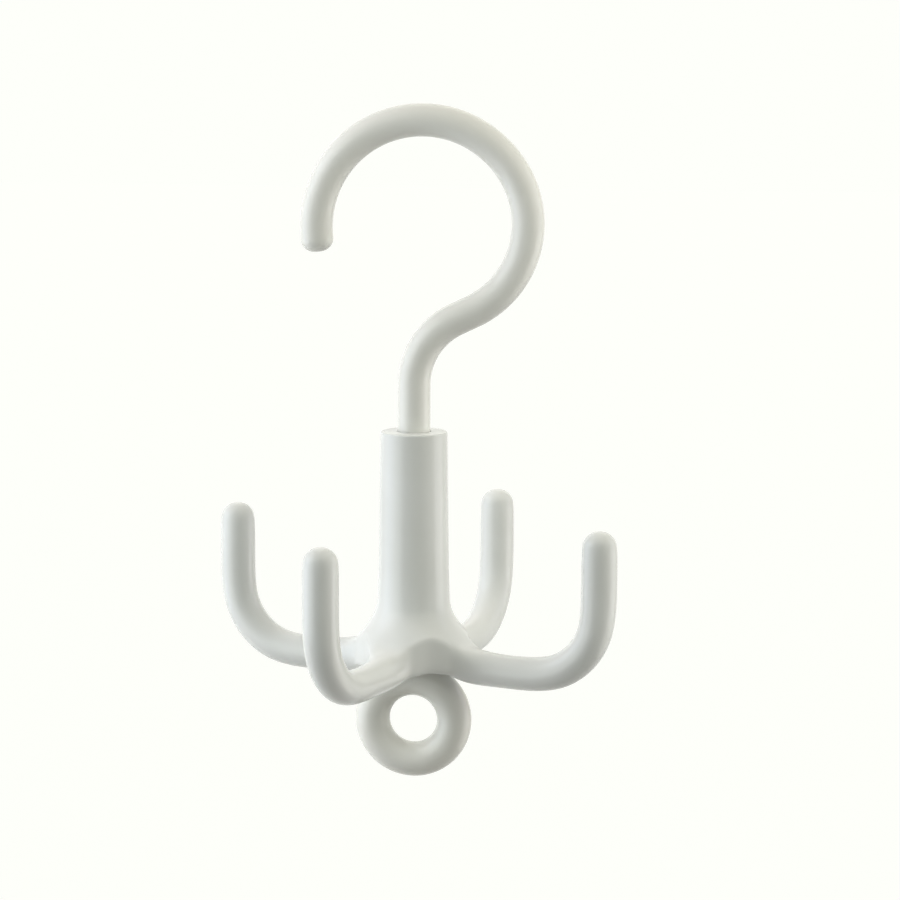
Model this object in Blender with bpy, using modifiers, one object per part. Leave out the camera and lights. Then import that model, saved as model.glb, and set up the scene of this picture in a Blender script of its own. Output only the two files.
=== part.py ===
"""Rotating hanging hook with four claws, built as its separate pieces at real size.

A round rod is bent to a hook that hangs on a closet rail. Its shank runs down through a sleeve, and the
ring under the hub snaps into the foot of the shank. The sleeve, its hub and the four upturned claws are
one moulding, which turns freely on the shank between the rod's shoulder and the ring's collar.

Frame: metres, +Z up. The origin is the underside of the hook's crown on the axis that the claws turn
about, and everything hangs below it. The hook and the ring lie in the XZ plane, the mouth towards -X.
"""

import math

import bmesh
import bpy
from mathutils import Matrix, Vector

MM = 0.001
FULL_TURN = 2 * math.pi
RIGHT_ANGLE = math.pi / 2
MERGE_DISTANCE = 0.01 * MM

# Clearances between pieces
RUNNING_GAP = 0.2 * MM
SEAT_GAP = 0.3 * MM
SNAP_GAP = 0.2 * MM
CUT_OVERRUN = 5.0 * MM

# Top hook: the bends follow each other from the shank to the tip, and turn right where positive
ROD_RADIUS = 3.85 * MM
NECK_EXPOSED = 10.9 * MM
NECK_BEND_RADIUS = 17.4 * MM
NECK_BEND_ANGLE = math.radians(64.3)
NECK_STRAIGHT = 4.4 * MM
BACK_BEND_RADIUS = 22.8 * MM
BACK_BEND_ANGLE = math.radians(-96.2)
CROWN_BEND_RADIUS = 25.2 * MM
CROWN_BEND_ANGLE = math.radians(-153.3)
TIP_STRAIGHT = 0.4 * MM
TIP_ROUNDING = 3.1 * MM
TIP_STEPS = 4
ROD_BEND_STEP = math.radians(6.0)
ROD_RESOLUTION = 6

# Journal: the thinner end of the shank inside the sleeve
JOURNAL_RADIUS = 3.4 * MM
MOUTH_DEPTH = 1.4 * MM
FOOT_CHAMFER = 0.4 * MM
SOCKET_RADIUS = 2.1 * MM
SOCKET_DEPTH = 12.0 * MM
GROOVE_DEPTH = 0.3 * MM

# Claw body: sleeve and hub, heights above the centreline of the level arms
SLEEVE_HEIGHT = 55.6 * MM
SLEEVE_TOP_RADIUS = 7.9 * MM
SLEEVE_FOOT_RADIUS = 8.6 * MM
RIM_ROUNDING = 0.7 * MM
FLARE_TOP = 15.6 * MM
FLARE_FOOT = 10.1 * MM
FLARE_RADIUS = 10.35 * MM
WAIST_SWELL = 0.5 * MM
HUB_CROWN = 5.2 * MM
HUB_WEB_TOP = 8.1 * MM
HUB_WEB_FOOT = -0.4 * MM
HUB_WEB_RADIUS = 12.5 * MM
HUB_CREST_SHARPNESS = 0.5
HUB_CROWN_SHARPNESS = 0.25
HUB_FOOT_SHARPNESS = 0.35
HUB_FLOOR = -0.9 * MM
HUB_FLOOR_RADIUS = 8.2 * MM
COUNTERBORE_ROOF = 6.0 * MM

# Claw body: the four arms, each a round rod that runs out level and turns up
CLAW_COUNT = 4
CLAW_RADIUS = 4.17 * MM
ARM_RADIUS = 3.87 * MM
CLAW_REACH = 47.6 * MM
CLAW_BEND_RADIUS = 16.8 * MM
CLAW_TIP_HEIGHT = 35.2 * MM
CLAW_BEND_STEPS = 4
CLAW_REST_ANGLE = math.radians(-16.7)
ARM_ROOT = 13.5 * MM
ARM_ROOT_HALF_WIDTH = 5.2 * MM
ARM_SHOULDER = 12.6 * MM
ARM_SHOULDER_HEIGHT = 6.2 * MM
ARM_ROOT_LIFT = 0.3 * MM
ARM_BLEND_REACH = 18.0 * MM
ARM_BLEND_RISE = 0.6 * MM

# Hanging ring: the ring, the collar that carries the claw body, and the spigot
RING_MEAN_RADIUS = 9.85 * MM
RING_TUBE_RADIUS = 4.1 * MM
RING_DROP = 13.6 * MM
COLLAR_RADIUS = 5.2 * MM
COLLAR_NECK_RADIUS = 3.0 * MM
SPIGOT_TIP_CHAMFER = 0.6 * MM
BARB_LENGTH = 1.2 * MM
BARB_LEVEL = 7.0 * MM
BARB_PITCH = 2.6 * MM
BARB_COUNT = 2

# Fineness of the round shapes
TURNED_STEPS = 40
RING_SEGMENTS = 56
RING_SIDES = 20
SECTION_SIDES = 8
SLEEVE_COLUMNS = 24
COLUMNS_PER_CLAW = SLEEVE_COLUMNS // CLAW_COUNT
WEB_PLACES = (0, COLUMNS_PER_CLAW - 2, COLUMNS_PER_CLAW - 1)
CROWN_PLACES = range(1, COLUMNS_PER_CLAW - 2)
SMOOTHING_LEVELS = 1
DOME_STEPS = 3
RELIEF_STEPS = 8
SHARP_ANGLE = math.radians(35)

# Colour of the moulded plastic
PLASTIC_COLOUR = (0.80, 0.81, 0.79, 1.0)
PLASTIC_ROUGHNESS = 0.32


def curve_swell(step_angle):
    """How far outside a circle the cage points lie, so that the smoothed surface meets the circle."""
    return 3 / (2 + math.cos(step_angle))


def plastic(name):
    material = bpy.data.materials.new(name)
    material.use_nodes = True
    shader = material.node_tree.nodes["Principled BSDF"]
    shader.inputs["Base Color"].default_value = PLASTIC_COLOUR
    shader.inputs["Roughness"].default_value = PLASTIC_ROUGHNESS
    shader.inputs["Metallic"].default_value = 0.0
    return material


def link(name, data, collection):
    piece = bpy.data.objects.new(name, data)
    collection.objects.link(piece)
    return piece


def make_helper(piece):
    """Mark a cutter or a joining shape, which is not a piece of the object."""
    piece.hide_render = True
    piece.display_type = "WIRE"
    return piece


def cut_or_join(piece, helper, operation):
    modifier = piece.modifiers.new(helper.name, "BOOLEAN")
    modifier.operation = operation
    modifier.object = helper
    modifier.solver = "EXACT"


def finish(piece, collection):
    """Replace the piece's modifiers by their result and shade it smooth between its sharp edges."""
    view = bpy.context.evaluated_depsgraph_get()
    mesh = bpy.data.meshes.new_from_object(piece.evaluated_get(view))
    name, place = piece.name, piece.matrix_world.copy()
    bpy.data.objects.remove(piece)
    mesh.name = name
    mesh.shade_smooth()
    mesh.set_sharp_from_angle(angle=SHARP_ANGLE)
    mesh.materials.clear()
    mesh.materials.append(plastic(name + "_plastic"))
    done = link(name, mesh, collection)
    done.matrix_world = place
    return done


def turned(name, profile, level, collection):
    """A solid of revolution about Z from (radius, height) points that run down its outer side."""
    bm = bmesh.new()
    points = [bm.verts.new((radius, 0, height)) for radius, height in profile]
    for upper, lower in zip(points, points[1:]):
        bm.edges.new((upper, lower))
    mesh = bpy.data.meshes.new(name)
    bm.to_mesh(mesh)
    bm.free()
    piece = link(name, mesh, collection)
    piece.location.z = level
    screw = piece.modifiers.new("Turn", "SCREW")
    screw.angle = FULL_TURN
    screw.steps = TURNED_STEPS
    screw.render_steps = TURNED_STEPS
    screw.use_merge_vertices = True
    screw.merge_threshold = MERGE_DISTANCE
    return piece


def right_of(heading):
    """The direction to the right of a heading, which is an angle from +Z towards +X."""
    return Vector((math.cos(heading), 0, -math.sin(heading)))


def bend(path, heading, radius, angle):
    """Add an arc to the path. Returns the new heading and the arc's centre."""
    side = math.copysign(radius, angle)
    centre = path[-1] + side * right_of(heading)
    count = math.ceil(abs(angle) / ROD_BEND_STEP)
    for step in range(1, count + 1):
        path.append(centre - side * right_of(heading + angle * step / count))
    return heading + angle, centre


def hook_path():
    """The rod's centreline from the foot of the neck bend to the tip, and the crown's centre."""
    path = [Vector((0, 0, 0))]
    heading, _ = bend(path, 0, NECK_BEND_RADIUS, NECK_BEND_ANGLE)
    along = Vector((math.sin(heading), 0, math.cos(heading)))
    path.append(path[-1] + NECK_STRAIGHT * along)
    heading, _ = bend(path, heading, BACK_BEND_RADIUS, BACK_BEND_ANGLE)
    heading, crown = bend(path, heading, CROWN_BEND_RADIUS, CROWN_BEND_ANGLE)
    return path, heading, crown


def crown_height():
    """Height of the crown's underside on the turning axis above the foot of the neck bend."""
    _, _, crown = hook_path()
    inner_radius = CROWN_BEND_RADIUS - ROD_RADIUS
    return crown.z + math.sqrt(inner_radius ** 2 - crown.x ** 2)


# Heights in the frame, worked out downwards from the crown
NECK_LEVEL = -crown_height()
RIM_LEVEL = NECK_LEVEL - NECK_EXPOSED
SHOULDER_LEVEL = RIM_LEVEL - MOUTH_DEPTH + SEAT_GAP
ARM_LEVEL = RIM_LEVEL - SLEEVE_HEIGHT
ROOF_LEVEL = ARM_LEVEL + COUNTERBORE_ROOF
COLLAR_LEVEL = ROOF_LEVEL - SEAT_GAP
FOOT_LEVEL = COLLAR_LEVEL + SEAT_GAP
RING_LEVEL = ARM_LEVEL - RING_DROP

# Sizes that follow from the neighbours and the clearances
BORE_RADIUS = JOURNAL_RADIUS + RUNNING_GAP
MOUTH_RADIUS = ROD_RADIUS + RUNNING_GAP
COUNTERBORE_RADIUS = COLLAR_RADIUS + RUNNING_GAP
SPIGOT_RADIUS = SOCKET_RADIUS - SNAP_GAP
BARB_RADIUS = SPIGOT_RADIUS + GROOVE_DEPTH
SPIGOT_LENGTH = SOCKET_DEPTH - SEAT_GAP
RING_OUTER_RADIUS = RING_MEAN_RADIUS + RING_TUBE_RADIUS
RELIEF_RADIUS = RING_OUTER_RADIUS + SEAT_GAP
RELIEF_EDGE = math.sqrt(RELIEF_RADIUS ** 2 - COUNTERBORE_RADIUS ** 2) - RING_DROP


def rod_curve(collection):
    """The whole rod as one curve whose point radii make the journal, the shoulder and the round tip."""
    path, heading, _ = hook_path()
    stations = [
        (Vector((0, 0, FOOT_LEVEL)), JOURNAL_RADIUS - FOOT_CHAMFER),
        (Vector((0, 0, FOOT_LEVEL + FOOT_CHAMFER)), JOURNAL_RADIUS),
        (Vector((0, 0, SHOULDER_LEVEL - MERGE_DISTANCE)), JOURNAL_RADIUS),
        (Vector((0, 0, SHOULDER_LEVEL + MERGE_DISTANCE)), ROD_RADIUS),
    ]
    raised = [point + Vector((0, 0, NECK_LEVEL)) for point in path]
    stations += [(point, ROD_RADIUS) for point in raised]
    along = Vector((math.sin(heading), 0, math.cos(heading)))
    for step in range(TIP_STEPS + 1):
        turn = RIGHT_ANGLE * step / TIP_STEPS
        reach = TIP_STRAIGHT + TIP_ROUNDING * math.sin(turn)
        radius = ROD_RADIUS - TIP_ROUNDING * (1 - math.cos(turn))
        stations.append((raised[-1] + reach * along, radius))
    curve = bpy.data.curves.new("rod_centreline", "CURVE")
    curve.dimensions = "3D"
    curve.bevel_depth = ROD_RADIUS
    curve.bevel_resolution = ROD_RESOLUTION
    curve.use_fill_caps = True
    spline = curve.splines.new("POLY")
    spline.points.add(len(stations) - 1)
    for point, (place, radius) in zip(spline.points, stations):
        point.co = (*place, 1)
        point.radius = radius / ROD_RADIUS
    return link("rod_centreline", curve, collection)


def mesh_from_curve(name, curve_object, collection):
    """The curve's tube as a closed mesh, so that it can be cut."""
    view = bpy.context.evaluated_depsgraph_get()
    mesh = bpy.data.meshes.new_from_object(curve_object.evaluated_get(view))
    piece = link(name, mesh, collection)
    piece.matrix_world = curve_object.matrix_world
    bpy.data.objects.remove(curve_object)
    bm = bmesh.new()
    bm.from_mesh(mesh)
    bmesh.ops.remove_doubles(bm, verts=bm.verts, dist=MERGE_DISTANCE / 2)
    bmesh.ops.recalc_face_normals(bm, faces=bm.faces)
    bm.to_mesh(mesh)
    bm.free()
    return piece


def barb_levels():
    """Heights of the barbs above the collar, from the top one down."""
    return [BARB_LEVEL - BARB_PITCH * index for index in range(BARB_COUNT)]


def make_top_hook(collection, helpers):
    hook = mesh_from_curve("top_hook", rod_curve(collection), collection)
    profile = [(0, SOCKET_DEPTH), (SOCKET_RADIUS, SOCKET_DEPTH)]
    for level in barb_levels():
        groove_radius = SOCKET_RADIUS + GROOVE_DEPTH
        top = level - SEAT_GAP + SNAP_GAP
        bottom = level - SEAT_GAP - BARB_LENGTH - SNAP_GAP
        profile += [(SOCKET_RADIUS, top), (groove_radius, top)]
        profile += [(groove_radius, bottom + GROOVE_DEPTH), (SOCKET_RADIUS, bottom)]
    profile += [(SOCKET_RADIUS, -CUT_OVERRUN), (0, -CUT_OVERRUN)]
    socket = make_helper(turned("socket_cutter", profile, FOOT_LEVEL, helpers))
    cut_or_join(hook, socket, "DIFFERENCE")
    return finish(hook, collection)


def sleeve_radius(height):
    """The drafted sleeve's radius at a height above the arms."""
    share = height / SLEEVE_HEIGHT
    return SLEEVE_FOOT_RADIUS + (SLEEVE_TOP_RADIUS - SLEEVE_FOOT_RADIUS) * share


def column_angle(column):
    """Azimuth of a cage column from the first claw's direction."""
    return FULL_TURN * (column - COLUMNS_PER_CLAW / 2 + 0.5) / SLEEVE_COLUMNS


def cage_row(bm, radius, height):
    """A round row of the cage, which the smoothing draws in to the given radius."""
    swollen = radius * curve_swell(FULL_TURN / SLEEVE_COLUMNS)
    row = []
    for column in range(SLEEVE_COLUMNS):
        angle = column_angle(column)
        row.append(bm.verts.new((swollen * math.cos(angle), swollen * math.sin(angle), height)))
    return row


def hub_row(bm, crown_point, shoulder_point, web_radius, web_height):
    """A row round the hub: for each claw a web, a shoulder, the crown twice, a shoulder and a web."""
    row = []
    web_angle = column_angle(COLUMNS_PER_CLAW - 1)
    web_point = (web_radius * math.cos(web_angle), web_radius * math.sin(web_angle), web_height)
    half = [web_point, shoulder_point, crown_point]
    for claw in range(CLAW_COUNT):
        turn = Matrix.Rotation(FULL_TURN * claw / CLAW_COUNT, 3, "Z")
        for x, y, z in half:
            row.append(bm.verts.new(turn @ Vector((x, -y, z))))
        for x, y, z in reversed(half):
            row.append(bm.verts.new(turn @ Vector((x, y, z))))
    return row


def sharpen_row(bm, row, sharpness, places):
    """Crease a row round the hub at the given places of each claw's columns."""
    crease = bm.edges.layers.float.get("crease_edge") or bm.edges.layers.float.new("crease_edge")
    for column in range(SLEEVE_COLUMNS):
        if column % COLUMNS_PER_CLAW in places:
            edge = bm.edges.get((row[column], row[(column + 1) % SLEEVE_COLUMNS]))
            edge[crease] = sharpness


def bridge_rows(bm, upper, lower, skip_claws=False):
    """Faces between two rows, leaving out the claws' roots where asked."""
    for column in range(SLEEVE_COLUMNS):
        following = (column + 1) % SLEEVE_COLUMNS
        at_root = 0 < column % COLUMNS_PER_CLAW < COLUMNS_PER_CLAW - 2
        if skip_claws and at_root:
            continue
        bm.faces.new((upper[column], lower[column], lower[following], upper[following]))


def claw_stations():
    """Centre, heading and radius of each cage section of a claw, beyond the hub and up to its tip."""
    stations = [(ARM_BLEND_REACH, 0, 0, ARM_RADIUS)]
    bend_start = CLAW_REACH - CLAW_BEND_RADIUS
    stations.append(((ARM_BLEND_REACH + bend_start) / 2, 0, 0, ARM_RADIUS))
    step_angle = RIGHT_ANGLE / CLAW_BEND_STEPS
    for step in range(CLAW_BEND_STEPS + 1):
        angle = step_angle * step
        inner = 0 < step < CLAW_BEND_STEPS
        turn_radius = CLAW_BEND_RADIUS * (curve_swell(step_angle) if inner else 1)
        reach = bend_start + turn_radius * math.sin(angle)
        height = CLAW_BEND_RADIUS - turn_radius * math.cos(angle)
        radius = CLAW_RADIUS if step else (ARM_RADIUS + CLAW_RADIUS) / 2
        stations.append((reach, height, angle, radius))
    dome_level = CLAW_TIP_HEIGHT - CLAW_RADIUS
    stations.append((CLAW_REACH, (CLAW_BEND_RADIUS + dome_level) / 2, RIGHT_ANGLE, CLAW_RADIUS))
    return stations, dome_level


def section(bm, turn, reach, height, heading, radius, rise=0):
    """Eight cage points round a claw, from the left of its crown clockwise seen from the hub."""
    swollen = radius * curve_swell(FULL_TURN / SECTION_SIDES)
    up = Vector((-math.sin(heading), 0, math.cos(heading)))
    centre = Vector((reach, 0, height))
    points = []
    for side in range(SECTION_SIDES):
        angle = RIGHT_ANGLE - FULL_TURN * (side + 0.5) / SECTION_SIDES
        lifted = swollen * math.sin(angle) + max(0, math.sin(angle)) * rise
        place = centre + Vector((0, swollen * math.cos(angle), 0)) + lifted * up
        points.append(bm.verts.new(turn @ place))
    return points


def bridge_sections(bm, near, far):
    for side in range(SECTION_SIDES):
        following = (side + 1) % SECTION_SIDES
        bm.faces.new((near[side], far[side], far[following], near[following]))


def add_claw(bm, claw, top_row, foot_row):
    """One claw from its root in the hub's rows to its domed tip."""
    first = claw * COLUMNS_PER_CLAW
    low_y, crown_low, crown_high, high_y = range(first + 1, first + COLUMNS_PER_CLAW - 1)
    previous = [top_row[crown_high], top_row[high_y], foot_row[high_y], foot_row[crown_high]]
    previous += [foot_row[crown_low], foot_row[low_y], top_row[low_y], top_row[crown_low]]
    turn = Matrix.Rotation(FULL_TURN * claw / CLAW_COUNT, 3, "Z")
    stations, dome_level = claw_stations()
    for index, (reach, height, heading, radius) in enumerate(stations):
        rise = ARM_BLEND_RISE if index == 0 else 0
        current = section(bm, turn, reach, height, heading, radius, rise)
        bridge_sections(bm, previous, current)
        previous = current
    swell = curve_swell(RIGHT_ANGLE / DOME_STEPS)
    for step in range(DOME_STEPS):
        angle = RIGHT_ANGLE * step / DOME_STEPS
        radius = CLAW_RADIUS * math.cos(angle) * (swell if step else 1)
        height = dome_level + CLAW_RADIUS * math.sin(angle) * swell
        current = section(bm, turn, CLAW_REACH, height, RIGHT_ANGLE, radius)
        bridge_sections(bm, previous, current)
        previous = current
    pole = bm.verts.new(turn @ Vector((CLAW_REACH, 0, dome_level + CLAW_RADIUS * swell)))
    for side in range(SECTION_SIDES):
        bm.faces.new((previous[side], pole, previous[(side + 1) % SECTION_SIDES]))


def claw_cage():
    """The coarse cage of the claw body, with the level arms' centreline at height zero."""
    bm = bmesh.new()
    rim = [
        (BORE_RADIUS, SLEEVE_HEIGHT),
        (SLEEVE_TOP_RADIUS - 2 * RIM_ROUNDING, SLEEVE_HEIGHT),
        (SLEEVE_TOP_RADIUS - RIM_ROUNDING / 3, SLEEVE_HEIGHT),
        (SLEEVE_TOP_RADIUS, SLEEVE_HEIGHT - RIM_ROUNDING / 3),
        (sleeve_radius(SLEEVE_HEIGHT - 2 * RIM_ROUNDING), SLEEVE_HEIGHT - 2 * RIM_ROUNDING),
    ]
    middle = (SLEEVE_HEIGHT + FLARE_TOP) / 2
    wall = [(sleeve_radius(height), height) for height in (middle, FLARE_TOP)]
    waist = (FLARE_TOP + FLARE_FOOT) / 2
    flare = [(sleeve_radius(waist) + WAIST_SWELL, waist), (FLARE_RADIUS, FLARE_FOOT)]
    rows = [cage_row(bm, radius, height) for radius, height in rim + wall + flare]
    for upper, lower in zip(rows, rows[1:]):
        bridge_rows(bm, upper, lower)
    bm.faces.new(rows[0])

    half_crown = CLAW_RADIUS * math.sin(FULL_TURN / SECTION_SIDES / 2)
    top_row = hub_row(
        bm,
        (ARM_ROOT, half_crown, HUB_CROWN),
        (ARM_SHOULDER, ARM_ROOT_HALF_WIDTH, ARM_SHOULDER_HEIGHT),
        HUB_WEB_RADIUS,
        HUB_WEB_TOP,
    )
    foot_row = hub_row(
        bm,
        (ARM_ROOT, half_crown, ARM_ROOT_LIFT - ARM_RADIUS),
        (ARM_ROOT, ARM_ROOT_HALF_WIDTH, ARM_ROOT_LIFT - ARM_RADIUS / 2),
        HUB_WEB_RADIUS,
        HUB_WEB_FOOT,
    )
    bridge_rows(bm, rows[-1], top_row)
    sharpen_row(bm, top_row, HUB_CREST_SHARPNESS, WEB_PLACES)
    sharpen_row(bm, top_row, HUB_CROWN_SHARPNESS, CROWN_PLACES)
    bridge_rows(bm, top_row, foot_row, skip_claws=True)
    floor = cage_row(bm, HUB_FLOOR_RADIUS, HUB_FLOOR)
    centre = cage_row(bm, BORE_RADIUS, HUB_FLOOR)
    bridge_rows(bm, foot_row, floor)
    sharpen_row(bm, foot_row, HUB_FOOT_SHARPNESS, WEB_PLACES)
    bridge_rows(bm, floor, centre)
    bm.faces.new(list(reversed(centre)))
    for claw in range(CLAW_COUNT):
        add_claw(bm, claw, top_row, foot_row)
    bmesh.ops.recalc_face_normals(bm, faces=bm.faces)
    mesh = bpy.data.meshes.new("claw_cage")
    bm.to_mesh(mesh)
    bm.free()
    return mesh


def make_claw_body(collection, helpers):
    body = link("claw_body", claw_cage(), collection)
    body.location.z = ARM_LEVEL
    body.rotation_euler.z = CLAW_REST_ANGLE
    smooth = body.modifiers.new("Smooth", "SUBSURF")
    smooth.levels = SMOOTHING_LEVELS
    smooth.render_levels = SMOOTHING_LEVELS
    relief = []
    edge_angle = math.asin(COUNTERBORE_RADIUS / RELIEF_RADIUS)
    for step in range(RELIEF_STEPS + 1):
        angle = edge_angle + (RIGHT_ANGLE - edge_angle) * step / RELIEF_STEPS
        relief.append((RELIEF_RADIUS * math.sin(angle), RELIEF_RADIUS * math.cos(angle) - RING_DROP))
    mouth_floor = SLEEVE_HEIGHT - MOUTH_DEPTH
    profile = [
        (0, SLEEVE_HEIGHT + CUT_OVERRUN),
        (MOUTH_RADIUS, SLEEVE_HEIGHT + CUT_OVERRUN),
        (MOUTH_RADIUS, mouth_floor),
        (BORE_RADIUS, mouth_floor),
        (BORE_RADIUS, COUNTERBORE_ROOF),
        (COUNTERBORE_RADIUS, COUNTERBORE_ROOF),
    ]
    profile += relief
    profile.append((0, -RING_DROP))
    bore = make_helper(turned("bore_cutter", profile, ARM_LEVEL, helpers))
    cut_or_join(body, bore, "DIFFERENCE")
    return finish(body, collection)


def make_hanging_ring(collection, helpers):
    bpy.ops.mesh.primitive_torus_add(
        major_segments=RING_SEGMENTS,
        minor_segments=RING_SIDES,
        major_radius=RING_MEAN_RADIUS,
        minor_radius=RING_TUBE_RADIUS,
        location=(0, 0, RING_LEVEL),
        rotation=(RIGHT_ANGLE, 0, 0),
    )
    ring = bpy.context.object
    ring.name = "hanging_ring"
    for holder in list(ring.users_collection):
        holder.objects.unlink(ring)
    collection.objects.link(ring)
    profile = [
        (0, SPIGOT_LENGTH),
        (SPIGOT_RADIUS - SPIGOT_TIP_CHAMFER, SPIGOT_LENGTH),
        (SPIGOT_RADIUS, SPIGOT_LENGTH - SPIGOT_TIP_CHAMFER),
    ]
    for level in barb_levels():
        profile += [(SPIGOT_RADIUS, level), (BARB_RADIUS, level - GROOVE_DEPTH)]
        profile += [(BARB_RADIUS, level - BARB_LENGTH), (SPIGOT_RADIUS, level - BARB_LENGTH)]
    stem_foot = RING_LEVEL + RING_MEAN_RADIUS - COLLAR_LEVEL
    collar_foot = ARM_LEVEL + RELIEF_EDGE - COLLAR_LEVEL
    profile += [(SPIGOT_RADIUS, 0), (COLLAR_RADIUS, 0), (COLLAR_RADIUS, collar_foot)]
    profile += [(COLLAR_NECK_RADIUS, stem_foot), (0, stem_foot)]
    stem = make_helper(turned("ring_stem", profile, COLLAR_LEVEL, helpers))
    cut_or_join(ring, stem, "UNION")
    return finish(ring, collection)


def main():
    for old in list(bpy.data.objects):
        bpy.data.objects.remove(old)
    pieces = bpy.data.collections.new("rotating_claw_hook")
    helpers = bpy.data.collections.new("cutters")
    bpy.context.scene.collection.children.link(pieces)
    bpy.context.scene.collection.children.link(helpers)
    make_top_hook(pieces, helpers)
    make_claw_body(pieces, helpers)
    make_hanging_ring(pieces, helpers)


main()
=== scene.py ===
import math

import bmesh
import bpy
from mathutils import Matrix, Vector


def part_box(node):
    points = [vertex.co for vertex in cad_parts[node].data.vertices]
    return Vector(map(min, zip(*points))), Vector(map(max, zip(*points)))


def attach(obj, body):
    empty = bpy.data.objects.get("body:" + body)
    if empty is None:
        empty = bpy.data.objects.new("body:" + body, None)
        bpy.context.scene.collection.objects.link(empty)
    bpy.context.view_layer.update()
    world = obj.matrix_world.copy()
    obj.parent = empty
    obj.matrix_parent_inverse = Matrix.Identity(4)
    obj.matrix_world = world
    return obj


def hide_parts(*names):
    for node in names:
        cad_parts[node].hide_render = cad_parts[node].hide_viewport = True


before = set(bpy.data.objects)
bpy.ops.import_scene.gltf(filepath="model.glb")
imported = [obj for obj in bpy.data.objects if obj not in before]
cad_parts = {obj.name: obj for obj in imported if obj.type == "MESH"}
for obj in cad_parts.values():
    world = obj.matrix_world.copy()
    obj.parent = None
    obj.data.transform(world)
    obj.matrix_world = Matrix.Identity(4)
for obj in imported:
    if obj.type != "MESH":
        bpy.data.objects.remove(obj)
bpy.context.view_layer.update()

MM = 0.001
FULL_TURN = 2 * math.pi
RIGHT_ANGLE = math.pi / 2
MERGE_DISTANCE = 0.002 * MM

# Clearances between pieces, as in the CAD model
RUNNING_GAP = 0.2 * MM
SEAT_GAP = 0.3 * MM
SNAP_GAP = 0.2 * MM

# Top hook
ROD_RADIUS = 3.85 * MM
NECK_BEND_RADIUS = 17.4 * MM
NECK_BEND_ANGLE = math.radians(64.3)
NECK_STRAIGHT = 4.4 * MM
BACK_BEND_RADIUS = 22.8 * MM
BACK_BEND_ANGLE = math.radians(-96.2)
CROWN_BEND_RADIUS = 25.2 * MM
CROWN_BEND_ANGLE = math.radians(-153.3)
TIP_STRAIGHT = 0.4 * MM
TIP_ROUNDING = 3.1 * MM
JOURNAL_RADIUS = 3.4 * MM
FOOT_CHAMFER = 0.4 * MM
SOCKET_RADIUS = 2.1 * MM
SOCKET_DEPTH = 12.0 * MM
GROOVE_DEPTH = 0.3 * MM

# Claw body
SLEEVE_HEIGHT = 55.6 * MM
SLEEVE_TOP_RADIUS = 7.9 * MM
SLEEVE_FOOT_RADIUS = 8.6 * MM
MOUTH_DEPTH = 1.4 * MM
RIM_ROUNDING = 0.7 * MM
RIM_CHAMFER = RIM_ROUNDING / 3
RIM_LOOP = 2 * RIM_ROUNDING
FLARE_TOP = 15.6 * MM
FLARE_FOOT = 10.1 * MM
FLARE_RADIUS = 10.35 * MM
WAIST_SWELL = 0.5 * MM
HUB_CROWN = 5.2 * MM
HUB_WEB_TOP = 8.1 * MM
HUB_CREST_SHARPNESS = 0.5
HUB_CROWN_SHARPNESS = 0.25
HUB_FOOT_SHARPNESS = 0.35
HUB_WEB_FOOT = -0.4 * MM
HUB_WEB_RADIUS = 12.5 * MM
HUB_FLOOR = -0.9 * MM
HUB_FLOOR_RADIUS = 8.2 * MM
COUNTERBORE_ROOF = 6.0 * MM
CLAW_COUNT = 4
CLAW_RADIUS = 4.17 * MM
ARM_RADIUS = 3.87 * MM
CLAW_REACH = 47.6 * MM
CLAW_BEND_RADIUS = 16.8 * MM
CLAW_TIP_HEIGHT = 35.2 * MM
CLAW_REST_ANGLE = math.radians(-16.7)
ARM_ROOT = 13.5 * MM
ARM_ROOT_HALF_WIDTH = 5.2 * MM
ARM_SHOULDER = 12.6 * MM
ARM_SHOULDER_HEIGHT = 6.2 * MM
ARM_ROOT_LIFT = 0.3 * MM
ARM_BLEND_REACH = 18.0 * MM
ARM_BLEND_RISE = 0.6 * MM

# Hanging ring
RING_MEAN_RADIUS = 9.85 * MM
RING_TUBE_RADIUS = 4.1 * MM
RING_DROP = 13.6 * MM
COLLAR_RADIUS = 5.2 * MM
COLLAR_NECK_RADIUS = 3.0 * MM
SPIGOT_TIP_CHAMFER = 0.6 * MM
BARB_LENGTH = 1.2 * MM
BARB_PITCH = 2.6 * MM
BARB_COUNT = 2
TOP_BARB_LEVEL = 7.0 * MM

# Fineness of the round shapes
ROD_SIDES = 56
ROD_BEND_STEP = math.radians(2.0)
TIP_STEPS = 10
TURNED_STEPS = 96
RING_SEGMENTS = 144
RING_SIDES = 56
RELIEF_STEPS = 16
SECTION_SIDES = 8
CLAW_BEND_STEPS = 4
DOME_STEPS = 3
SMOOTHING_LEVELS = 3
SHARP_ANGLE = math.radians(35)

# Columns of the claw body's cage, and which edges of a row lie at a claw's webs and at its crown
SLEEVE_COLUMNS = 24
COLUMNS_PER_CLAW = SLEEVE_COLUMNS // CLAW_COUNT
WEB_PLACES = (0, COLUMNS_PER_CLAW - 2, COLUMNS_PER_CLAW - 1)
CROWN_PLACES = range(1, COLUMNS_PER_CLAW - 2)

# Levels in the frame, built up from the ring's foot in the CAD model
RING_LOW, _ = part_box("hanging_ring")
RING_LEVEL = RING_LOW[2] + RING_MEAN_RADIUS + RING_TUBE_RADIUS
ARM_LEVEL = RING_LEVEL + RING_DROP
RIM_LEVEL = ARM_LEVEL + SLEEVE_HEIGHT
SHOULDER_LEVEL = RIM_LEVEL - MOUTH_DEPTH + SEAT_GAP
ROOF_LEVEL = ARM_LEVEL + COUNTERBORE_ROOF
COLLAR_LEVEL = ROOF_LEVEL - SEAT_GAP
FOOT_LEVEL = COLLAR_LEVEL + SEAT_GAP

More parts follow.
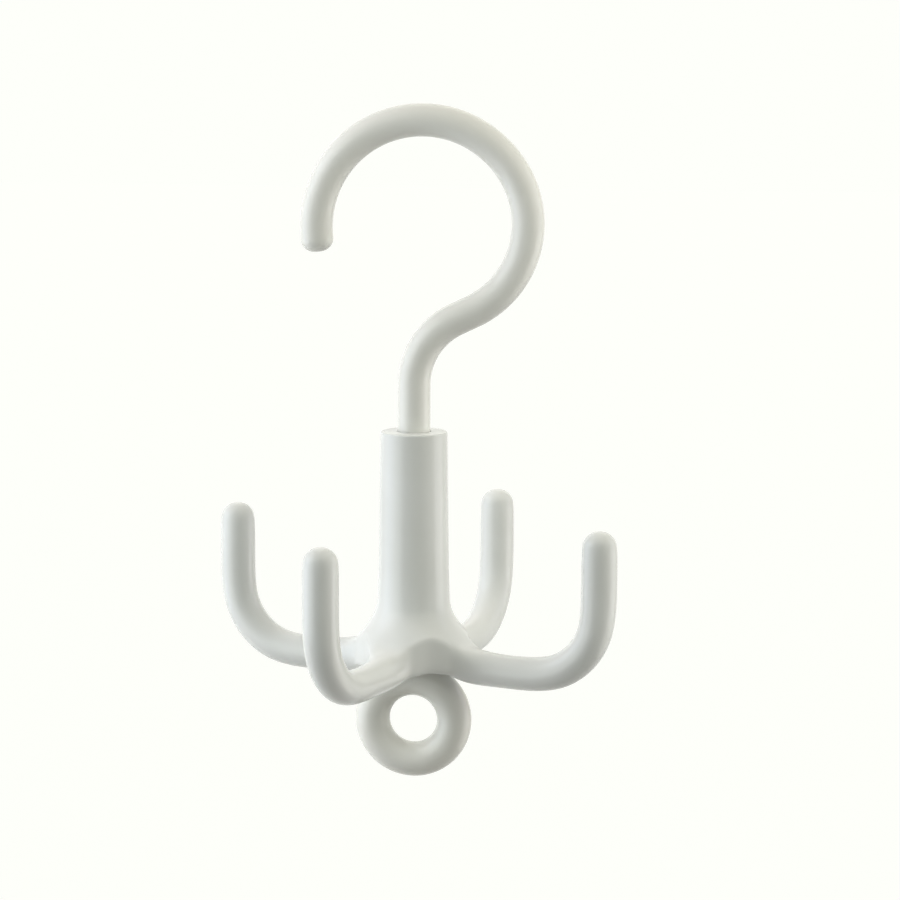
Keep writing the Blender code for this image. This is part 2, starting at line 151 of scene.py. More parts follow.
# Sizes that follow from the neighbours and the clearances
BORE_RADIUS = JOURNAL_RADIUS + RUNNING_GAP
MOUTH_RADIUS = ROD_RADIUS + RUNNING_GAP
COUNTERBORE_RADIUS = COLLAR_RADIUS + RUNNING_GAP
GROOVE_RADIUS = SOCKET_RADIUS + GROOVE_DEPTH
SPIGOT_RADIUS = SOCKET_RADIUS - SNAP_GAP
BARB_RADIUS = SPIGOT_RADIUS + GROOVE_DEPTH
SPIGOT_LENGTH = SOCKET_DEPTH - SEAT_GAP
RING_OUTER_RADIUS = RING_MEAN_RADIUS + RING_TUBE_RADIUS
RELIEF_RADIUS = RING_OUTER_RADIUS + SEAT_GAP
RELIEF_EDGE = math.sqrt(RELIEF_RADIUS ** 2 - COUNTERBORE_RADIUS ** 2) - RING_DROP

# Heights of the barbs above the collar, from the top one down
BARB_LEVELS = [TOP_BARB_LEVEL - BARB_PITCH * index for index in range(BARB_COUNT)]

# How far a cutter runs past the face that it opens
CUT_OVERRUN = 5.0 * MM

# Materials: white moulded plastic, with each piece's tint painting light and shade into the white:
# lighter on the hook and the ring, darker and bluer on the claw body
WHITE_LIGHT = (0.755, 0.765, 0.740)
WHITE_DEEP = (0.725, 0.735, 0.706)
# Painted light and shade: the hook and the ring are tinted lighter, the claw body darker and bluer
HOOK_PAINTED_LIGHT_TINT = (1.022, 1.018, 1.014)
CLAW_PAINTED_SHADE_TINT = (0.948, 0.960, 0.981)
RING_PAINTED_LIGHT_TINT = (1.031, 1.022, 1.006)
HOOK_NOISE_OFFSET = 0.11
CLAW_NOISE_OFFSET = 0.23
RING_NOISE_OFFSET = 0.37
MOTTLE_SIZE = 18 * MM
MOTTLE_DETAIL = 3.0
GLOSS_SIZE = 11 * MM
GLOSS_DETAIL = 4.0
SINK_SIZE = 11 * MM
SINK_DETAIL = 1.0
SINK_HEIGHT = 0.04 * MM
PEEL_SIZE = 0.55 * MM
PEEL_DETAIL = 2.0
PEEL_HEIGHT = 0.004 * MM
ROUGHNESS_LOW = 0.16
ROUGHNESS_HIGH = 0.26
PLASTIC_IOR = 1.5

# The part of a noise's range in which colour and gloss change
NOISE_LOW = 0.3
NOISE_HIGH = 0.7

# Camera, fitted to the photograph's outline
VIEW_AZIMUTH = math.radians(9.3)
VIEW_ELEVATION = math.radians(8.215)
VIEW_ROLL = math.radians(0.11)
VIEW_DISTANCE = 745.2 * MM
VIEW_TARGET_RISE = 49.54 * MM
FOCAL_PIXELS = 3159
PICTURE_PIXELS = 900
TARGET_PIXEL = (413.96, 456.43)
SENSOR_WIDTH = 36
CLIP_NEAR = 10 * MM
CLIP_FAR = 50

# Surroundings
BACKGROUND = (0.99, 1.0, 0.955, 1.0)
WORLD_WHITENING = 1.0
ZENITH = (1.0, 0.98, 0.72, 1.0)
ZENITH_STRENGTH = 0.10
ZENITH_FOCUS = 4
FLOOR_DROP = 0.75
FLOOR_SIZE = 30.0
FLOOR_COLOUR = (0.80, 0.79, 0.76, 1.0)
FLOOR_ROUGHNESS = 0.9
FLOOR_WHITENING = 0.85
FLOOR_GLOW = 1.163

# Lamps: name, direction to the right, front and top, size, power and colour
TALL_BOX = (0.34, 0.62)
SQUARE_BOX = (0.43, 0.43)
LAMP_DISTANCE = 0.55
LAMP_AIM = 15 * MM
LAMPS = [
    ("left_softbox", (-1.0, 0.0, 0.0), TALL_BOX, 1.00, (0.67, 0.81, 1.0)),
    ("left_front_softbox", (-1.0, 0.6, 0.0), TALL_BOX, 0.92, (0.91, 1.0, 0.94)),
    ("right_softbox", (1.0, 0.0, 0.0), TALL_BOX, 0.47, (0.80, 0.84, 1.0)),
    ("right_lower_softbox", (1.0, 0.0, -0.6), SQUARE_BOX, 0.63, (1.0, 0.96, 0.88)),
    ("left_lower_fill", (-1.0, 0.0, -0.6), SQUARE_BOX, 1.23, (1.0, 0.95, 0.91)),
    ("left_upper_fill", (-1.0, 0.0, 0.6), SQUARE_BOX, 2.22, (1.0, 0.93, 0.89)),
    ("right_upper_fill", (1.0, 0.0, 0.6), SQUARE_BOX, 1.02, (1.0, 0.93, 0.77)),
    ("right_front_fill", (1.0, 0.8, 0.7), TALL_BOX, 1.98, (1.0, 1.0, 0.91)),
    ("back_fill", (0.0, -1.0, 0.7), SQUARE_BOX, 1.78, (1.0, 0.97, 0.91)),
]


# Mesh helpers

def curve_swell(step_angle):
    """How far outside a circle the cage points lie, so that the smoothed surface meets it."""
    return 3 / (2 + math.cos(step_angle))


def mesh_from(bm, name):
    mesh = bpy.data.meshes.new(name)
    bm.to_mesh(mesh)
    bm.free()
    return mesh


def add_object(name, data):
    piece = bpy.data.objects.new(name, data)
    bpy.context.scene.collection.objects.link(piece)
    return piece


def cut_or_join(piece, helper, operation):
    modifier = piece.modifiers.new(helper.name, "BOOLEAN")
    modifier.operation = operation
    modifier.object = helper
    modifier.solver = "EXACT"


def weld(mesh):
    """Close the slivers that a cut or a join leaves along its edge."""
    bm = bmesh.new()
    bm.from_mesh(mesh)
    bmesh.ops.remove_doubles(bm, verts=bm.verts, dist=MERGE_DISTANCE)
    bmesh.ops.dissolve_degenerate(bm, edges=bm.edges, dist=MERGE_DISTANCE)
    bm.to_mesh(mesh)
    bm.free()


def finish_piece(piece, *helpers):
    """Apply the piece's modifiers and its place to its mesh, and remove the helpers."""
    depsgraph = bpy.context.evaluated_depsgraph_get()
    mesh = bpy.data.meshes.new_from_object(piece.evaluated_get(depsgraph))
    name, place = piece.name, piece.matrix_world.copy()
    for old in (piece, *helpers):
        bpy.data.objects.remove(old)
    mesh.transform(place)
    weld(mesh)
    mesh.name = name
    mesh.shade_smooth()
    mesh.set_sharp_from_angle(angle=SHARP_ANGLE)
    return add_object(name, mesh)


def turned(name, profile, level):
    """A solid of revolution about Z from (radius, height) points that run down its outer side."""
    bm = bmesh.new()
    points = [bm.verts.new((radius, 0, height)) for radius, height in profile]
    for upper, lower in zip(points, points[1:]):
        bm.edges.new((upper, lower))
    piece = add_object(name, mesh_from(bm, name))
    piece.location.z = level
    screw = piece.modifiers.new("Turn", "SCREW")
    screw.angle = FULL_TURN
    screw.steps = TURNED_STEPS
    screw.render_steps = TURNED_STEPS
    screw.use_merge_vertices = True
    screw.merge_threshold = MERGE_DISTANCE
    return piece


# Top hook

def right_of(heading):
    """The direction to the right of a heading, which is an angle from +Z towards +X."""
    return Vector((math.cos(heading), 0, -math.sin(heading)))


def along(heading):
    """The direction of a heading."""
    return Vector((math.sin(heading), 0, math.cos(heading)))


def bend(path, heading, radius, angle):
    """Add an arc of (point, heading) pairs to the path.

    Returns the new heading and the arc's centre.
    """
    side = math.copysign(radius, angle)
    centre = path[-1][0] + side * right_of(heading)
    count = math.ceil(abs(angle) / ROD_BEND_STEP)
    for step in range(1, count + 1):
        turned_to = heading + angle * step / count
        path.append((centre - side * right_of(turned_to), turned_to))
    return heading + angle, centre


def hook_path():
    """The rod's centreline above the shank as (point, heading) pairs.

    Returns it with the heading at its tip and the crown's centre.
    """
    path = [(Vector((0, 0, 0)), 0.0)]
    heading, _ = bend(path, 0, NECK_BEND_RADIUS, NECK_BEND_ANGLE)
    path.append((path[-1][0] + NECK_STRAIGHT * along(heading), heading))
    heading, _ = bend(path, heading, BACK_BEND_RADIUS, BACK_BEND_ANGLE)
    heading, crown = bend(path, heading, CROWN_BEND_RADIUS, CROWN_BEND_ANGLE)
    return path, heading, crown


def rod_stations():
    """Place, heading and radius of each section of the rod, from the shank's foot to the tip."""
    path, heading, crown = hook_path()
    inner_radius = CROWN_BEND_RADIUS - ROD_RADIUS
    neck_level = -(crown.z + math.sqrt(inner_radius ** 2 - crown.x ** 2))
    stations = [
        (Vector((0, 0, FOOT_LEVEL)), 0.0, JOURNAL_RADIUS - FOOT_CHAMFER),
        (Vector((0, 0, FOOT_LEVEL + FOOT_CHAMFER)), 0.0, JOURNAL_RADIUS),
        (Vector((0, 0, SHOULDER_LEVEL)), 0.0, JOURNAL_RADIUS),
        (Vector((0, 0, SHOULDER_LEVEL)), 0.0, ROD_RADIUS),
    ]
    lift = Vector((0, 0, neck_level))
    stations += [(point + lift, turned_to, ROD_RADIUS) for point, turned_to in path]
    end = path[-1][0] + lift
    for step in range(TIP_STEPS + 1):
        turn = RIGHT_ANGLE * step / TIP_STEPS
        reach = TIP_STRAIGHT + TIP_ROUNDING * math.sin(turn)
        radius = ROD_RADIUS - TIP_ROUNDING * (1 - math.cos(turn))
        stations.append((end + reach * along(heading), heading, radius))
    return stations


def rod_mesh():
    """The rod's skin over its sections, closed at both ends."""
    bm = bmesh.new()
    rings = []
    for place, heading, radius in rod_stations():
        ring = []
        for side in range(ROD_SIDES):
            angle = FULL_TURN * side / ROD_SIDES
            offset = math.cos(angle) * right_of(heading) + Vector((0, math.sin(angle), 0))
            ring.append(bm.verts.new(place + radius * offset))
        rings.append(ring)
    for lower, upper in zip(rings, rings[1:]):
        for side in range(ROD_SIDES):
            following = (side + 1) % ROD_SIDES
            bm.faces.new((lower[side], lower[following], upper[following], upper[side]))
    bm.faces.new(list(reversed(rings[0])))
    bm.faces.new(rings[-1])
    bmesh.ops.recalc_face_normals(bm, faces=bm.faces)
    return mesh_from(bm, "hook_rod")


def socket_profile():
    """The blind socket in the shank's foot, with a groove round each barb."""
    profile = [(0, SOCKET_DEPTH), (SOCKET_RADIUS, SOCKET_DEPTH)]
    for level in BARB_LEVELS:
        top = level - SEAT_GAP + SNAP_GAP
        bottom = level - SEAT_GAP - BARB_LENGTH - SNAP_GAP
        profile += [(SOCKET_RADIUS, top), (GROOVE_RADIUS, top)]
        profile += [(GROOVE_RADIUS, bottom + GROOVE_DEPTH), (SOCKET_RADIUS, bottom)]
    return profile + [(SOCKET_RADIUS, -CUT_OVERRUN), (0, -CUT_OVERRUN)]


def make_hook():
    hook = add_object("hook_rod", rod_mesh())
    socket = turned("socket_cutter", socket_profile(), FOOT_LEVEL)
    cut_or_join(hook, socket, "DIFFERENCE")
    return finish_piece(hook, socket)


# Claw body

def sleeve_radius(height):
    """The drafted sleeve's radius at a height above the arms."""
    share = height / SLEEVE_HEIGHT
    return SLEEVE_FOOT_RADIUS + (SLEEVE_TOP_RADIUS - SLEEVE_FOOT_RADIUS) * share


def column_angle(column):
    """Azimuth of a cage column from the first claw's direction."""
    return FULL_TURN * (column - COLUMNS_PER_CLAW / 2 + 0.5) / SLEEVE_COLUMNS


def cage_row(bm, radius, height):
    """A round row of the cage, which the smoothing draws in to the given radius."""
    swollen = radius * curve_swell(FULL_TURN / SLEEVE_COLUMNS)
    row = []
    for column in range(SLEEVE_COLUMNS):
        angle = column_angle(column)
        row.append(bm.verts.new((swollen * math.cos(angle), swollen * math.sin(angle), height)))
    return row


def hub_row(bm, crown_point, shoulder_point, web_radius, web_height):
    """A row round the hub, with six points for each claw.

    They are a web, a shoulder, the crown twice, a shoulder and a web.
    """
    row = []
    web_angle = column_angle(COLUMNS_PER_CLAW - 1)
    web_point = (web_radius * math.cos(web_angle), web_radius * math.sin(web_angle), web_height)
    half = [web_point, shoulder_point, crown_point]
    for claw in range(CLAW_COUNT):
        turn = Matrix.Rotation(FULL_TURN * claw / CLAW_COUNT, 3, "Z")
        for x, y, z in half:
            row.append(bm.verts.new(turn @ Vector((x, -y, z))))
        for x, y, z in reversed(half):
            row.append(bm.verts.new(turn @ Vector((x, y, z))))
    return row


def sharpen_row(bm, row, sharpness, places):
    """Crease a row round the hub at the given places of each claw's columns."""
    crease = bm.edges.layers.float.get("crease_edge") or bm.edges.layers.float.new("crease_edge")
    for column in range(SLEEVE_COLUMNS):
        if column % COLUMNS_PER_CLAW in places:
            edge = bm.edges.get((row[column], row[(column + 1) % SLEEVE_COLUMNS]))
            edge[crease] = sharpness


def bridge_rows(bm, upper, lower, skip_claws=False):
    """Faces between two rows, leaving out the claws' roots where asked."""
    for column in range(SLEEVE_COLUMNS):
        if skip_claws and column % COLUMNS_PER_CLAW in CROWN_PLACES:
            continue
        following = (column + 1) % SLEEVE_COLUMNS
        bm.faces.new((upper[column], lower[column], lower[following], upper[following]))


def claw_stations():
    """The cage sections of a claw from beyond the hub up to its dome, and the dome's level.

    Each section has its reach, height, heading and radius.
    """
    stations = [(ARM_BLEND_REACH, 0, 0, ARM_RADIUS)]
    bend_start = CLAW_REACH - CLAW_BEND_RADIUS
    stations.append(((ARM_BLEND_REACH + bend_start) / 2, 0, 0, ARM_RADIUS))
    step_angle = RIGHT_ANGLE / CLAW_BEND_STEPS
    for step in range(CLAW_BEND_STEPS + 1):
        angle = step_angle * step
        inner = 0 < step < CLAW_BEND_STEPS
        turn_radius = CLAW_BEND_RADIUS * (curve_swell(step_angle) if inner else 1)
        reach = bend_start + turn_radius * math.sin(angle)
        height = CLAW_BEND_RADIUS - turn_radius * math.cos(angle)
        radius = CLAW_RADIUS if step else (ARM_RADIUS + CLAW_RADIUS) / 2
        stations.append((reach, height, angle, radius))
    dome_level = CLAW_TIP_HEIGHT - CLAW_RADIUS
    stations.append((CLAW_REACH, (CLAW_BEND_RADIUS + dome_level) / 2, RIGHT_ANGLE, CLAW_RADIUS))
    return stations, dome_level


def section(bm, turn, reach, height, heading, radius, rise=0):
    """Eight cage points round a claw, whose upper ones stand higher by the rise.

    Seen from the hub, they start left of its crown and run anticlockwise.
    """
    swollen = radius * curve_swell(FULL_TURN / SECTION_SIDES)
    up = Vector((-math.sin(heading), 0, math.cos(heading)))
    centre = Vector((reach, 0, height))
    points = []
    for side in range(SECTION_SIDES):
        angle = RIGHT_ANGLE - FULL_TURN * (side + 0.5) / SECTION_SIDES
        lifted = swollen * math.sin(angle) + max(0, math.sin(angle)) * rise
        place = centre + Vector((0, swollen * math.cos(angle), 0)) + lifted * up
        points.append(bm.verts.new(turn @ place))
    return points


def bridge_sections(bm, near, far):
    for side in range(SECTION_SIDES):
        following = (side + 1) % SECTION_SIDES
        bm.faces.new((near[side], far[side], far[following], near[following]))


def add_claw(bm, claw, top_row, foot_row):
    """One claw from its root in the hub's rows to its domed tip."""
    first = claw * COLUMNS_PER_CLAW
    low_y, crown_low, crown_high, high_y = range(first + 1, first + COLUMNS_PER_CLAW - 1)
    previous = [top_row[crown_high], top_row[high_y], foot_row[high_y], foot_row[crown_high]]
    previous += [foot_row[crown_low], foot_row[low_y], top_row[low_y], top_row[crown_low]]
    turn = Matrix.Rotation(FULL_TURN * claw / CLAW_COUNT, 3, "Z")
    stations, dome_level = claw_stations()
    for index, (reach, height, heading, radius) in enumerate(stations):
        rise = ARM_BLEND_RISE if index == 0 else 0
        current = section(bm, turn, reach, height, heading, radius, rise)
        bridge_sections(bm, previous, current)
        previous = current
    swell = curve_swell(RIGHT_ANGLE / DOME_STEPS)
    for step in range(DOME_STEPS):
        angle = RIGHT_ANGLE * step / DOME_STEPS
        radius = CLAW_RADIUS * math.cos(angle) * (swell if step else 1)
        height = dome_level + CLAW_RADIUS * math.sin(angle) * swell
        current = section(bm, turn, CLAW_REACH, height, RIGHT_ANGLE, radius)
        bridge_sections(bm, previous, current)
        previous = current
    pole = bm.verts.new(turn @ Vector((CLAW_REACH, 0, dome_level + CLAW_RADIUS * swell)))
    for side in range(SECTION_SIDES):
        bm.faces.new((previous[side], pole, previous[(side + 1) % SECTION_SIDES]))


def claw_cage():
    """The coarse cage of the claw body, with the level arms' centreline at height zero."""
    bm = bmesh.new()
    rim = [
        (BORE_RADIUS, SLEEVE_HEIGHT),
        (SLEEVE_TOP_RADIUS - RIM_LOOP, SLEEVE_HEIGHT),
        (SLEEVE_TOP_RADIUS - RIM_CHAMFER, SLEEVE_HEIGHT),
        (SLEEVE_TOP_RADIUS, SLEEVE_HEIGHT - RIM_CHAMFER),
        (sleeve_radius(SLEEVE_HEIGHT - RIM_LOOP), SLEEVE_HEIGHT - RIM_LOOP),
    ]
    middle = (SLEEVE_HEIGHT + FLARE_TOP) / 2
    wall = [(sleeve_radius(height), height) for height in (middle, FLARE_TOP)]
    waist = (FLARE_TOP + FLARE_FOOT) / 2
    flare = [(sleeve_radius(waist) + WAIST_SWELL, waist), (FLARE_RADIUS, FLARE_FOOT)]
    rows = [cage_row(bm, radius, height) for radius, height in rim + wall + flare]
    for upper, lower in zip(rows, rows[1:]):
        bridge_rows(bm, upper, lower)
    bm.faces.new(rows[0])

    half_crown = CLAW_RADIUS * math.sin(FULL_TURN / SECTION_SIDES / 2)
    top_row = hub_row(
        bm,
        (ARM_ROOT, half_crown, HUB_CROWN),
        (ARM_SHOULDER, ARM_ROOT_HALF_WIDTH, ARM_SHOULDER_HEIGHT),
        HUB_WEB_RADIUS,
        HUB_WEB_TOP,
    )
    foot_row = hub_row(
        bm,
        (ARM_ROOT, half_crown, ARM_ROOT_LIFT - ARM_RADIUS),
        (ARM_ROOT, ARM_ROOT_HALF_WIDTH, ARM_ROOT_LIFT - ARM_RADIUS / 2),
        HUB_WEB_RADIUS,
        HUB_WEB_FOOT,
    )
    bridge_rows(bm, rows[-1], top_row)
    sharpen_row(bm, top_row, HUB_CREST_SHARPNESS, WEB_PLACES)
    sharpen_row(bm, top_row, HUB_CROWN_SHARPNESS, CROWN_PLACES)
    bridge_rows(bm, top_row, foot_row, skip_claws=True)
    floor = cage_row(bm, HUB_FLOOR_RADIUS, HUB_FLOOR)
    centre = cage_row(bm, BORE_RADIUS, HUB_FLOOR)
    bridge_rows(bm, foot_row, floor)
    sharpen_row(bm, foot_row, HUB_FOOT_SHARPNESS, WEB_PLACES)
    bridge_rows(bm, floor, centre)
    bm.faces.new(list(reversed(centre)))
    for claw in range(CLAW_COUNT):
        add_claw(bm, claw, top_row, foot_row)
    bmesh.ops.recalc_face_normals(bm, faces=bm.faces)
    return mesh_from(bm, "claw_cage")


def relief_profile():
    """The hollow under the hub for the top of the ring, from the counterbore's edge down."""
    points = []
    edge_angle = math.asin(COUNTERBORE_RADIUS / RELIEF_RADIUS)
    for step in range(RELIEF_STEPS + 1):
        angle = edge_angle + (RIGHT_ANGLE - edge_angle) * step / RELIEF_STEPS
        height = RELIEF_RADIUS * math.cos(angle) - RING_DROP
        points.append((RELIEF_RADIUS * math.sin(angle), height))
    return points


def make_claws():
    body = add_object("sleeve_and_claws", claw_cage())
    body.location.z = ARM_LEVEL
    body.rotation_euler.z = CLAW_REST_ANGLE
    smooth = body.modifiers.new("Smooth", "SUBSURF")
    smooth.levels = SMOOTHING_LEVELS
    smooth.render_levels = SMOOTHING_LEVELS
    mouth_floor = SLEEVE_HEIGHT - MOUTH_DEPTH
    profile = [
        (0, SLEEVE_HEIGHT + CUT_OVERRUN),
        (MOUTH_RADIUS, SLEEVE_HEIGHT + CUT_OVERRUN),
        (MOUTH_RADIUS, mouth_floor),
        (BORE_RADIUS, mouth_floor),
        (BORE_RADIUS, COUNTERBORE_ROOF),
        (COUNTERBORE_RADIUS, COUNTERBORE_ROOF),
    ]
    profile += relief_profile()
    profile.append((0, -RING_DROP))
    bore = turned("bore_cutter", profile, ARM_LEVEL)
    cut_or_join(body, bore, "DIFFERENCE")
    return finish_piece(body, bore)


# Hanging ring

def stem_profile():
    """The spigot with its barbs, the collar, and the neck that runs into the ring."""
    profile = [
        (0, SPIGOT_LENGTH),
        (SPIGOT_RADIUS - SPIGOT_TIP_CHAMFER, SPIGOT_LENGTH),
        (SPIGOT_RADIUS, SPIGOT_LENGTH - SPIGOT_TIP_CHAMFER),
    ]
    for level in BARB_LEVELS:
        profile += [(SPIGOT_RADIUS, level), (BARB_RADIUS, level - GROOVE_DEPTH)]
        profile += [(BARB_RADIUS, level - BARB_LENGTH), (SPIGOT_RADIUS, level - BARB_LENGTH)]
    stem_foot = RING_LEVEL + RING_MEAN_RADIUS - COLLAR_LEVEL
    collar_foot = ARM_LEVEL + RELIEF_EDGE - COLLAR_LEVEL
    profile += [(SPIGOT_RADIUS, 0), (COLLAR_RADIUS, 0), (COLLAR_RADIUS, collar_foot)]
    return profile + [(COLLAR_NECK_RADIUS, stem_foot), (0, stem_foot)]


def make_ring():
    bpy.ops.mesh.primitive_torus_add(
        major_segments=RING_SEGMENTS,
        minor_segments=RING_SIDES,
        major_radius=RING_MEAN_RADIUS,
        minor_radius=RING_TUBE_RADIUS,
        location=(0, 0, RING_LEVEL),
        rotation=(RIGHT_ANGLE, 0, 0),
    )
    ring = bpy.context.object
    ring.name = "ring_and_collar"
    stem = turned("ring_stem", stem_profile(), COLLAR_LEVEL)
    cut_or_join(ring, stem, "UNION")
    return finish_piece(ring, stem)


# Materials

def noise(tree, coordinates, size, detail, offset):
    """A noise whose features are about the given size. Pieces differ by their offset."""
    shift = tree.nodes.new("ShaderNodeMapping")
    shift.inputs["Location"].default_value = (offset, offset / 2, -offset)
    tree.links.new(coordinates, shift.inputs["Vector"])
    texture = tree.nodes.new("ShaderNodeTexNoise")
    texture.inputs["Scale"].default_value = 1 / size
    texture.inputs["Detail"].default_value = detail
    tree.links.new(shift.outputs["Vector"], texture.inputs["Vector"])
    return texture.outputs["Fac"]


def tinted(colour, light_and_shade_tint):
    return (*(channel * share for channel, share in zip(colour, light_and_shade_tint)), 1.0)


def moulded_plastic(name, light_and_shade_tint, offset):
    """Satin white moulded plastic: faint mottling, uneven gloss, sink marks and orange peel, in a
    white whose tint paints light and shade.
    """
    material = bpy.data.materials.new(name)
    material.use_nodes = True
    tree = material.node_tree
    shader = tree.nodes["Principled BSDF"]
    place = tree.nodes.new("ShaderNodeTexCoord").outputs["Object"]

    mottle = noise(tree, place, MOTTLE_SIZE, MOTTLE_DETAIL, offset)
    colours = tree.nodes.new("ShaderNodeValToRGB")
    colours.color_ramp.interpolation = "EASE"
    colours.color_ramp.elements[0].position = NOISE_LOW
    # The tint paints light and shade into both whites of the mottling
    colours.color_ramp.elements[0].color = tinted(WHITE_DEEP, light_and_shade_tint)
    colours.color_ramp.elements[1].position = NOISE_HIGH
    colours.color_ramp.elements[1].color = tinted(WHITE_LIGHT, light_and_shade_tint)
    tree.links.new(mottle, colours.inputs["Fac"])
    tree.links.new(colours.outputs["Color"], shader.inputs["Base Color"])

    gloss = tree.nodes.new("ShaderNodeMapRange")
    gloss.inputs["From Min"].default_value = NOISE_LOW
    gloss.inputs["From Max"].default_value = NOISE_HIGH
    gloss.inputs["To Min"].default_value = ROUGHNESS_LOW
    gloss.inputs["To Max"].default_value = ROUGHNESS_HIGH
    unevenness = noise(tree, place, GLOSS_SIZE, GLOSS_DETAIL, -offset)
    tree.links.new(unevenness, gloss.inputs["Value"])
    tree.links.new(gloss.outputs["Result"], shader.inputs["Roughness"])

    sink = tree.nodes.new("ShaderNodeBump")
    sink.inputs["Distance"].default_value = SINK_HEIGHT
    tree.links.new(noise(tree, place, SINK_SIZE, SINK_DETAIL, offset), sink.inputs["Height"])
    peel = tree.nodes.new("ShaderNodeBump")
    peel.inputs["Distance"].default_value = PEEL_HEIGHT
    tree.links.new(noise(tree, place, PEEL_SIZE, PEEL_DETAIL, offset), peel.inputs["Height"])
    tree.links.new(sink.outputs["Normal"], peel.inputs["Normal"])
    tree.links.new(peel.outputs["Normal"], shader.inputs["Normal"])

    shader.inputs["IOR"].default_value = PLASTIC_IOR
    return material


# Stage, light and camera

def math_node(tree, operation, first, second):
    """The result of a math node on another node's output and a second output or a number."""
    node = tree.nodes.new("ShaderNodeMath")
    node.operation = operation
    tree.links.new(first, node.inputs[0])
    if isinstance(second, bpy.types.NodeSocket):
        tree.links.new(second, node.inputs[1])
    else:
        node.inputs[1].default_value = second
    return node.outputs[0]


def white_to_camera(tree, shader, white, share):
    """Let camera, glossy and transmission rays see a share of the white over the shader."""
    rays = tree.nodes.new("ShaderNodeLightPath").outputs
    seen = math_node(tree, "MAXIMUM", rays["Is Camera Ray"], rays["Is Glossy Ray"])
    seen = math_node(tree, "MAXIMUM", seen, rays["Is Transmission Ray"])
    mix = tree.nodes.new("ShaderNodeMixShader")
    tree.links.new(math_node(tree, "MULTIPLY", seen, share), mix.inputs["Fac"])
    tree.links.new(shader, mix.inputs[1])
    tree.links.new(white, mix.inputs[2])
    return mix.outputs[0]


def make_floor():
    bpy.ops.mesh.primitive_grid_add(size=FLOOR_SIZE, location=(0, 0, RING_LOW[2] - FLOOR_DROP))
    floor = bpy.context.object
    floor.name = "floor"
    material = bpy.data.materials.new("pale_floor")
    material.use_nodes = True
    tree = material.node_tree
    shader = tree.nodes["Principled BSDF"]
    shader.inputs["Base Color"].default_value = FLOOR_COLOUR
    shader.inputs["Roughness"].default_value = FLOOR_ROUGHNESS
    glow = tree.nodes.new("ShaderNodeEmission")
    glow.inputs["Color"].default_value = BACKGROUND
    glow.inputs["Strength"].default_value = FLOOR_GLOW
    surface = white_to_camera(
        tree, shader.outputs["BSDF"], glow.outputs["Emission"], FLOOR_WHITENING
    )
    tree.links.new(surface, tree.nodes["Material Output"].inputs["Surface"])
    floor.data.materials.append(material)


def make_world():
    """A white background, and a faint light from straight above."""
    world = bpy.data.worlds.new("studio")
    bpy.context.scene.world = world
    world.use_nodes = True
    tree = world.node_tree
    direction = tree.nodes.new("ShaderNodeTexCoord").outputs["Generated"]
    split = tree.nodes.new("ShaderNodeSeparateXYZ")
    tree.links.new(direction, split.inputs["Vector"])
    upward = math_node(tree, "MAXIMUM", split.outputs["Z"], 0)
    focused = math_node(tree, "POWER", upward, ZENITH_FOCUS)
    strength = math_node(tree, "MULTIPLY", focused, ZENITH_STRENGTH)
    ambient = tree.nodes["Background"]
    ambient.inputs["Color"].default_value = ZENITH
    tree.links.new(strength, ambient.inputs["Strength"])
    white = tree.nodes.new("ShaderNodeBackground")
    white.inputs["Color"].default_value = BACKGROUND
    surface = white_to_camera(
        tree, ambient.outputs["Background"], white.outputs["Background"], WORLD_WHITENING
    )
    tree.links.new(surface, tree.nodes["World Output"].inputs["Surface"])


def view_axes():
    """The camera's right and back directions in the frame, and the level one between them."""
    right = Vector((math.cos(VIEW_AZIMUTH), math.sin(VIEW_AZIMUTH), 0))
    level_back = Vector((math.sin(VIEW_AZIMUTH), -math.cos(VIEW_AZIMUTH), 0))
    back = level_back * math.cos(VIEW_ELEVATION) + Vector((0, 0, math.sin(VIEW_ELEVATION)))
    return right, level_back, back


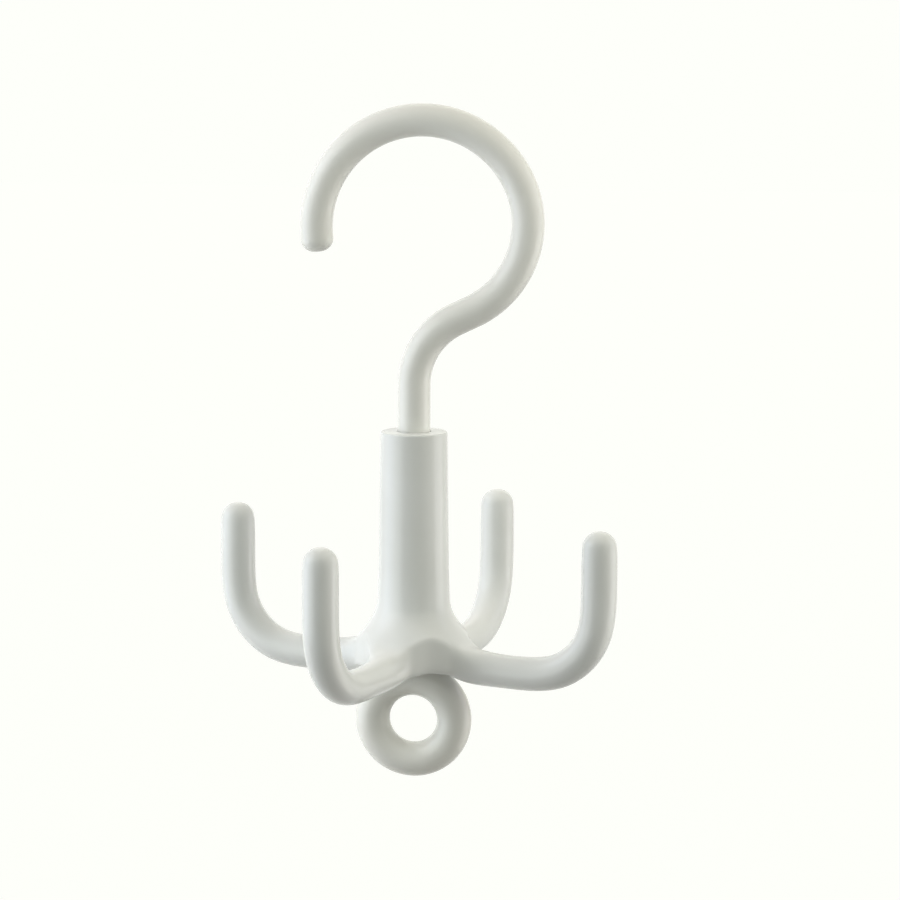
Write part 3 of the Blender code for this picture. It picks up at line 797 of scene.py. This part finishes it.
def add_lamp(name, direction, size, power, colour):
    """A large soft lamp beside the hook, turned towards it."""
    lamp = bpy.data.lights.new(name, "AREA")
    lamp.shape = "RECTANGLE"
    lamp.size, lamp.size_y = size
    lamp.energy = power
    lamp.color = colour
    piece = add_object(name, lamp)
    piece.location = Vector((0, 0, -LAMP_AIM)) + direction.normalized() * LAMP_DISTANCE
    piece.rotation_euler = (-direction).to_track_quat("-Z", "Y").to_euler()
    return piece


def make_lamps():
    """The softboxes, and the fills, which light the hook but don't show in its gloss."""
    right, front, _ = view_axes()
    up = Vector((0, 0, 1))
    for name, (sideways, forward, upward), size, power, colour in LAMPS:
        direction = sideways * right + forward * front + upward * up
        lamp = add_lamp(name, direction, size, power, colour)
        lamp.visible_glossy = not name.endswith("_fill")


def make_camera():
    camera = bpy.data.cameras.new("camera")
    camera.sensor_width = SENSOR_WIDTH
    camera.lens = FOCAL_PIXELS / PICTURE_PIXELS * SENSOR_WIDTH
    camera.shift_x = (PICTURE_PIXELS / 2 - TARGET_PIXEL[0]) / PICTURE_PIXELS
    camera.shift_y = (TARGET_PIXEL[1] - PICTURE_PIXELS / 2) / PICTURE_PIXELS
    camera.clip_start = CLIP_NEAR
    camera.clip_end = CLIP_FAR
    target = Vector((0, 0, ARM_LEVEL + VIEW_TARGET_RISE))
    _, _, back = view_axes()
    piece = add_object("camera", camera)
    aim = (-back).to_track_quat("-Z", "Y").to_matrix().to_4x4()
    piece.matrix_world = (
        Matrix.Translation(target + back * VIEW_DISTANCE) @ aim @ Matrix.Rotation(VIEW_ROLL, 4, "Z")
    )
    bpy.context.scene.camera = piece


def dress(piece, node, body, light_and_shade_tint, offset):
    """Give a piece its material and its body, and hide the CAD node that it stands for."""
    piece.data.materials.clear()
    piece.data.materials.append(moulded_plastic(piece.name + "_plastic", light_and_shade_tint, offset))
    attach(piece, body)
    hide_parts(node)


bpy.context.scene.view_settings.view_transform = "Standard"
make_camera()
make_world()
make_lamps()
make_floor()
# The tints paint light on the hook and the ring, and shade on the claw body
dress(make_hook(), "top_hook", "hook", HOOK_PAINTED_LIGHT_TINT, HOOK_NOISE_OFFSET)
dress(make_claws(), "claw_body", "claws", CLAW_PAINTED_SHADE_TINT, CLAW_NOISE_OFFSET)
dress(make_ring(), "hanging_ring", "hook", RING_PAINTED_LIGHT_TINT, RING_NOISE_OFFSET)
